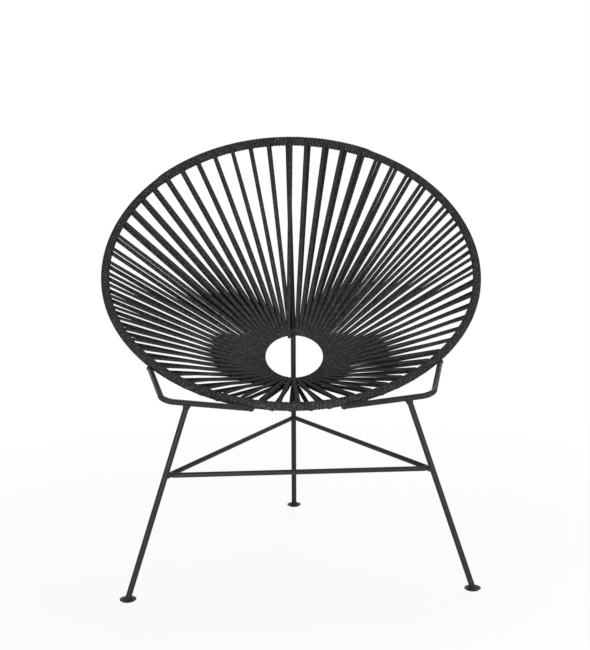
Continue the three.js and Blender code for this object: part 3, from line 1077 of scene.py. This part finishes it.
class CHAIR_OT_feet(ChairOperator, bpy.types.Operator):
    """Build the foot discs and their glides"""

    bl_idname = "chair.feet"
    bl_label = "Feet"

    def execute(self, context):
        (feet,) = sizes_of("feet")
        coat = finish_named("satin_powder_coat")
        rubber = finish_named("dull_rubber")
        for label in ("left", "right", "rear"):
            centre = foot_place(label)
            top = feet.glide_thickness + feet.disc_thickness
            disc = self.rounded(feet.disc / 2, feet.glide_thickness, top, feet.edge)
            glide = self.rounded(feet.glide / 2, 0, feet.glide_thickness, feet.edge / 2)
            for name, profile, finish, slot, node in (
                (f"disc_{label}", disc, coat, "powder_coat", f"foot_disc_{label}"),
                (f"glide_{label}", glide, rubber, "glide_rubber", f"foot_glide_{label}"),
            ):
                mesh = lathe_mesh(name, profile, centre, DISC_SIDES, finish)
                settle(join_meshes(name, [mesh]), slot, node)
        return {"FINISHED"}

    @staticmethod
    def rounded(radius, bottom, top, edge):
        """The profile of a disc with rounded edges, from its bottom to its top."""
        lower = [(math.sin(turn), 1 - math.cos(turn)) for turn in DISC_EDGE]
        profile = [(radius * DISC_INNER, bottom)]
        profile += [(radius - edge + edge * out, bottom + edge * up) for out, up in lower]
        profile += [(radius - edge + edge * out, top - edge * up) for out, up in reversed(lower)]
        return [*profile, (radius * DISC_INNER, top)]


# The cord's lines


def spokes(cord):
    """Each spoke's angles on the hoop and the ring, its lags, and its turns on the hoop."""
    made = []
    place = SPINE_ANGLE
    ring_place = SPINE_ANGLE
    for count, pitch, ring_pitch, lag, turns in SPOKE_ZONES:
        for _ in range(count):
            place -= math.radians(pitch)
            ring_place -= math.radians(ring_pitch)
            made.append({
                "angle": place,
                "ring_angle": ring_place,
                "ring_pitch": math.radians(ring_pitch),
                "lag": math.radians(lag),
                "ring_lag": cord.ring_lag,
                "turns": turns,
            })
    return made


def strand_ends(hoop, ring, spoke, gone):
    """Both ends of a strand's line, and the ways up and inward across the hoop and the ring. It
    lies at a spoke's upper strand where gone is 0, and at its lower strand where gone is 1."""
    hoop_angle = spoke["angle"] - spoke["lag"] * gone
    ring_angle = spoke["ring_angle"] - spoke["ring_lag"] * gone
    on_hoop = hoop_point(hoop, hoop_angle)
    on_ring = ring_point(ring, ring_angle)
    strand = (on_ring - on_hoop).normalized()
    ups = []
    inwards = []
    for tangent in (
        tangent_of(hoop_point, hoop, hoop_angle), tangent_of(ring_point, ring, ring_angle)
    ):
        up = tangent.cross(strand).normalized()
        ups.append(up if up.dot(hoop_normal(hoop)) > 0 else -up)
        inwards.append((strand - tangent * strand.dot(tangent)).normalized())
    return {"hoop": on_hoop, "ring": on_ring, "ups": ups, "inwards": inwards}


# A strand's end on the hoop: quarter turns round it from its outer side, and how far the strand
# has climbed there, where 0 is the height of the turns and 1 that of the free strand
HOOP_END = ((0.45, -0.35), (0.8, 0.12), (1.15, 0.7), (1.35, 1))
# Shares of a strand's stretch from the hoop to the ring at which it has a point
STRAND_SHARES = (0.15, 0.3, 0.45, 0.6, 0.75, 0.87)


def hoop_end(ends, cord, hoop, side):
    """Where a strand leaves the hoop's top (side 1) or comes back to its underside (side -1):
    points and the way out from the hoop at each, from within the turns to the free strand."""
    wound = hoop.rod / 2 + cord.thickness / 2
    points = []
    for turn, climb in HOOP_END:
        at = turn * math.pi / 2
        out = ends["ups"][0] * side * math.sin(at) - ends["inwards"][0] * math.cos(at)
        reach = wound + (cord.rise - wound) * climb
        points.append((ends["hoop"] + out * reach, out))
    return points


def loop_point(ends, reach, at):
    """A point round the ring's rod, and the way out there. Angle 0 is its inner side."""
    out = ends["ups"][1] * math.sin(at) + ends["inwards"][1] * math.cos(at)
    return ends["ring"] + out * reach, out


def between(first, last, shares):
    """Points and ways out at shares of the stretch between two of them."""
    return [
        (first[0].lerp(last[0], part), first[1].lerp(last[1], part).normalized())
        for part in shares
    ]


def narrowing_widths(cord, at_ring):
    """A strand keeps its width for a share of its length, and then narrows to the ring."""
    widths = []
    for part in STRAND_SHARES:
        gone = max(0, (part - cord.narrowing) / (1 - cord.narrowing))
        widths.append(cord.width + (at_ring - cord.width) * gone)
    return widths


def spoke_path(hoop, ring, cord, spoke):
    """From the hoop's top to the ring, round its inner side and back to the hoop's underside:
    points with the way out at each, and widths."""
    reach = (ring.rod + cord.thickness) / 2
    loop = []
    for step in range(cord.loop_steps + 1):
        gone = step / cord.loop_steps
        ends = strand_ends(hoop, ring, spoke, gone)
        loop.append(loop_point(ends, reach, math.pi * (0.5 - gone)))
    leaving = hoop_end(strand_ends(hoop, ring, spoke, 0), cord, hoop, 1)
    returning = hoop_end(strand_ends(hoop, ring, spoke, 1), cord, hoop, -1)[::-1]
    down = between(leaving[-1], loop[0], STRAND_SHARES)
    up = between(loop[-1], returning[0], [1 - part for part in reversed(STRAND_SHARES)])
    flat = [cord.width] * len(leaving)
    at_ring = ring.width / 2 * spoke["ring_pitch"] * cord.ring_fill
    narrow = narrowing_widths(cord, at_ring)
    widths = [*flat, *narrow, *([at_ring] * len(loop)), *reversed(narrow), *flat]
    return [*leaving, *down, *loop, *up, *returning], widths


# The last strand's end: how far it lies above the ring's rod, in thicknesses of the cord, how many
# quarter turns it goes round the ring, and its width there as a share of its own
END_RISE = 1.75
END_TURN = 1.2
END_NARROWING = 0.7


def end_path(hoop, ring, cord):
    """The cord's last strand: from the hoop's top beside the spine, across in front of the spine,
    to the ring, where its end is tucked round the ring over the loop beside it."""
    spoke = {
        "angle": cord.end_angle, "ring_angle": cord.end_ring_angle, "lag": 0, "ring_lag": 0
    }
    ends = strand_ends(hoop, ring, spoke, 0)
    reach = ring.rod / 2 + cord.thickness * END_RISE
    loop = []
    for step in range(cord.loop_steps + 1):
        at = math.pi / 2 * (1 - END_TURN * step / cord.loop_steps)
        loop.append(loop_point(ends, reach, at))
    leaving = hoop_end(ends, cord, hoop, 1)
    flat = [cord.width] * len(leaving)
    at_ring = cord.width * END_NARROWING
    widths = [*flat, *narrowing_widths(cord, at_ring), *([at_ring] * len(loop))]
    return [*leaving, *between(leaving[-1], loop[0], STRAND_SHARES), *loop], widths


# A strand leaves the hoop's top a quarter turn after the hoop's outer side
LEAVING_TURN = 0.25


def turn_knots(all_spokes):
    """Angles round the hoop, and the turns of cord counted up to each."""
    knots = [(SPINE_ANGLE, LEAVING_TURN)]
    for spoke in all_spokes:
        knots.append((spoke["angle"], knots[-1][1] + spoke["turns"]))
    knots.append((-SPINE_ANGLE, knots[-1][1] + all_spokes[-1]["turns"]))
    return knots


def turns_at(knots, place):
    """The turns of cord counted up to an angle on the hoop."""
    for (before, count), (after, next_count) in zip(knots, knots[1:]):
        if place >= after:
            return count + (next_count - count) * (before - place) / (before - after)
    return knots[-1][1]


# Turns of cord between a spoke and the place behind it where a length of cord ends
BREAK_TURNS = 3.5


def break_angle(all_spokes, index):
    """Where one length of cord ends and the next starts, between two spokes."""
    if index < 0:
        return SPINE_ANGLE
    if index == len(all_spokes) - 1:
        return -SPINE_ANGLE
    spoke, following = all_spokes[index], all_spokes[index + 1]
    pitch = spoke["angle"] - following["angle"]
    return spoke["angle"] - pitch * BREAK_TURNS / following["turns"]


# The stretch of the hoop over which the turns change their thickness
CREST_BLEND = math.radians(2)


def winding_thickness(cord, place):
    """The turns are thicker along the top of the hoop."""
    start = (place % FULL_TURN) - cord.crest_start
    end = cord.crest_end - (place % FULL_TURN)
    inside = max(0.0, min(1.0, 0.5 + min(start, end) / CREST_BLEND))
    return cord.thickness + (cord.crest_thickness - cord.thickness) * inside


# The step of the hoop's line under the turns, and the powers that make a section rounder than a
# box and fuller than an oval, for a strand and for a turn
WINDING_STEP = math.radians(0.5)
STRAND_FULLNESS = 0.78
TURN_FULLNESS = 0.7


class CHAIR_OT_seat_cord(ChairOperator, bpy.types.Operator):
    """Wind the cord round the hoop and string its spokes over the ring"""

    bl_idname = "chair.seat_cord"
    bl_label = "Seat Cord"

    def execute(self, context):
        hoop, ring, cord = sizes_of("hoop", "ring", "cord")
        finish = finish_named("braided_cord")
        all_spokes = spokes(cord)
        knots = turn_knots(all_spokes)
        owners = [i * cord.count // len(all_spokes) for i in range(len(all_spokes))]
        for number in range(cord.count):
            first = owners.index(number)
            last = first + owners.count(number) - 1
            label = f"{number + 1:02d}"
            start = break_angle(all_spokes, first - 1)
            end = break_angle(all_spokes, last)
            winding = self.winding(f"winding_{label}", hoop, cord, knots, start, end, finish)
            paths = [spoke_path(hoop, ring, cord, spoke) for spoke in all_spokes[first:last + 1]]
            if number == cord.count - 1:
                paths.append(end_path(hoop, ring, cord))
            strands = self.strands(f"strands_{label}", paths, cord, finish)
            piece = join_meshes(f"cord_{label}", [winding, strands])
            settle(piece, "seat_cord", f"seat_cord_{label}")
        return {"FINISHED"}

    @staticmethod
    def strands(name, paths, cord, finish):
        """The mesh of the spokes' strands and loops."""
        widths = [width for _, path_widths in paths for width in path_widths]
        attributes = {
            "width": widths,
            "thickness": [cord.thickness] * len(widths),
            "out": [out for path, _ in paths for _, out in path],
        }
        lines = [[point for point, _ in path] for path, _ in paths]
        mesh = polyline_mesh(name, lines, attributes)
        tree = tree_named("path_sweep", path_sweep_tree)
        inputs = {"Sides": cord.sides, "Fullness": STRAND_FULLNESS, "Material": finish}
        return run_tree(name, mesh, tree, inputs)

    @staticmethod
    def winding(name, hoop, cord, knots, start, end, finish):
        """The mesh of the turns round the hoop, from one angle to another."""
        count = max(2, math.ceil((start - end) / WINDING_STEP))
        places = [start + (end - start) * i / count for i in range(count + 1)]
        mesh = polyline_mesh(
            name,
            [[hoop_point(hoop, place) for place in places]],
            {
                "turns": [turns_at(knots, place) for place in places],
                "thickness": [winding_thickness(cord, place) for place in places],
            },
        )
        turns = turns_at(knots, end) - turns_at(knots, start)
        tree = tree_named("rim_winding", rim_winding_tree)
        return run_tree(name, mesh, tree, {
            "Rod Radius": hoop.rod / 2,
            "Turn Width": cord.turn_width,
            "Plane Normal": hoop_normal(hoop),
            "Points": round(turns * cord.turn_steps) + 1,
            "Sides": cord.sides,
            "Fullness": TURN_FULLNESS,
            "Material": finish,
        })


# The studio


# Where all lamps point, and each one's name, place, width and power, in metres and watts
LAMP_TARGET = (0, 0, 0.4)
LAMPS = (
    ("key", (-0.8, -3.2, 0.55), 0.9, 96.0),
    ("fill", (1.7, -2.7, 0.5), 1.2, 50.0),
    ("top", (0.2, 0.4, 2.8), 2.2, 6.0),
    ("back", (0.6, 2.0, 3.0), 1.6, 70.0),
)
WORLD_LIGHT = 0.14


class CHAIR_OT_studio(ChairOperator, bpy.types.Operator):
    """Set up the floor, the white surroundings, the soft lamps and the camera"""

    bl_idname = "chair.studio"
    bl_label = "Studio"

    def execute(self, context):
        scene = context.scene
        (studio,) = sizes_of("studio")
        scene.view_settings.view_transform = "Standard"
        self.floor()
        self.world(scene)
        for name, place, width, power in LAMPS:
            self.lamp(name, Vector(place), width, power)
        self.camera(scene, studio)
        return {"FINISHED"}

    @staticmethod
    def floor():
        half = FLOOR_SIZE / 2
        mesh = bpy.data.meshes.new("floor")
        corners = [(-half, -half, 0), (half, -half, 0), (half, half, 0), (-half, half, 0)]
        mesh.from_pydata(corners, [], [(0, 1, 2, 3)])
        mesh.materials.append(finish_named("studio_floor"))
        piece = bpy.data.objects.new("floor", mesh)
        bpy.context.scene.collection.objects.link(piece)

    @staticmethod
    def world(scene):
        """A room that looks white and gives only a little light."""
        world = bpy.data.worlds.new("white_room")
        world.use_nodes = True
        world.node_tree.nodes.clear()
        maker = NodeMaker(world.node_tree)
        light = maker.add("ShaderNodeBackground", {}, {0: WHITE, 1: WORLD_LIGHT})
        white = maker.add("ShaderNodeBackground", {}, {0: WHITE, 1: 1.0})
        mixed = maker.add("ShaderNodeMixShader", {}, {0: seen_ray(maker), 1: light, 2: white})
        maker.add("ShaderNodeOutputWorld", {}, {"Surface": mixed})
        scene.world = world

    @staticmethod
    def lamp(name, place, width, power):
        lamp = bpy.data.lights.new(name, "AREA")
        lamp.shape = "DISK"
        lamp.size = width
        lamp.energy = power
        item = bpy.data.objects.new(name, lamp)
        item.location = place
        ahead = Vector(LAMP_TARGET) - place
        item.rotation_euler = ahead.to_track_quat("-Z", "Y").to_euler()
        bpy.context.scene.collection.objects.link(item)

    @staticmethod
    def camera(scene, studio):
        """The photograph's camera: where it stands, how it is turned, and its framing."""
        lens = bpy.data.cameras.new("photo_camera")
        long_side = max(studio.image_width, studio.image_height)
        lens.lens = studio.focal_pixels / long_side * lens.sensor_width
        lens.shift_x = (studio.image_width / 2 - studio.centre_x) / long_side
        lens.shift_y = (studio.centre_y - studio.image_height / 2) / long_side
        item = bpy.data.objects.new("photo_camera", lens)
        place = from_feet(studio.camera_x, -studio.camera_back, studio.camera_height)
        ahead = Vector((
            math.sin(studio.yaw) * math.cos(studio.pitch),
            math.cos(studio.yaw) * math.cos(studio.pitch),
            -math.sin(studio.pitch),
        ))
        level = Vector((math.cos(studio.yaw), -math.sin(studio.yaw), 0))
        down = ahead.cross(level)
        right = level * math.cos(studio.roll) + down * math.sin(studio.roll)
        below = down * math.cos(studio.roll) - level * math.sin(studio.roll)
        turned = Matrix((right, -below, -ahead)).transposed()
        item.matrix_world = Matrix.Translation(place) @ turned.to_4x4()
        bpy.context.scene.collection.objects.link(item)
        scene.camera = item


# The add-on


OPERATORS = (
    CHAIR_OT_studio,
    CHAIR_OT_hoop_and_ring,
    CHAIR_OT_brackets,
    CHAIR_OT_legs,
    CHAIR_OT_stretcher,
    CHAIR_OT_feet,
    CHAIR_OT_seat_cord,
)


class CHAIR_PT_panel(bpy.types.Panel):
    """Lists the chair's pieces and sizes"""

    bl_idname = "CHAIR_PT_panel"
    bl_label = "Corded Lounge Chair"
    bl_space_type = "VIEW_3D"
    bl_region_type = "UI"
    bl_category = "Chair"

    def draw(self, context):
        for operator in OPERATORS:
            self.layout.operator(operator.bl_idname)
        for label in PROPERTY_GROUPS:
            box = self.layout.box()
            group = getattr(context.scene, label)
            for name in group.__annotations__:
                box.prop(group, name)


CLASSES = (*PROPERTY_GROUPS.values(), *OPERATORS, CHAIR_PT_panel)


def register():
    for item in CLASSES:
        bpy.utils.register_class(item)
    for label, group in PROPERTY_GROUPS.items():
        setattr(bpy.types.Scene, label, bpy.props.PointerProperty(type=group))


def unregister():
    for label in PROPERTY_GROUPS:
        delattr(bpy.types.Scene, label)
    for item in reversed(CLASSES):
        bpy.utils.unregister_class(item)


def main():
    register()
    for operator in OPERATORS:
        group, name = operator.bl_idname.split(".")
        getattr(getattr(bpy.ops, group), name)()


if __name__ == "__main__":
    main()
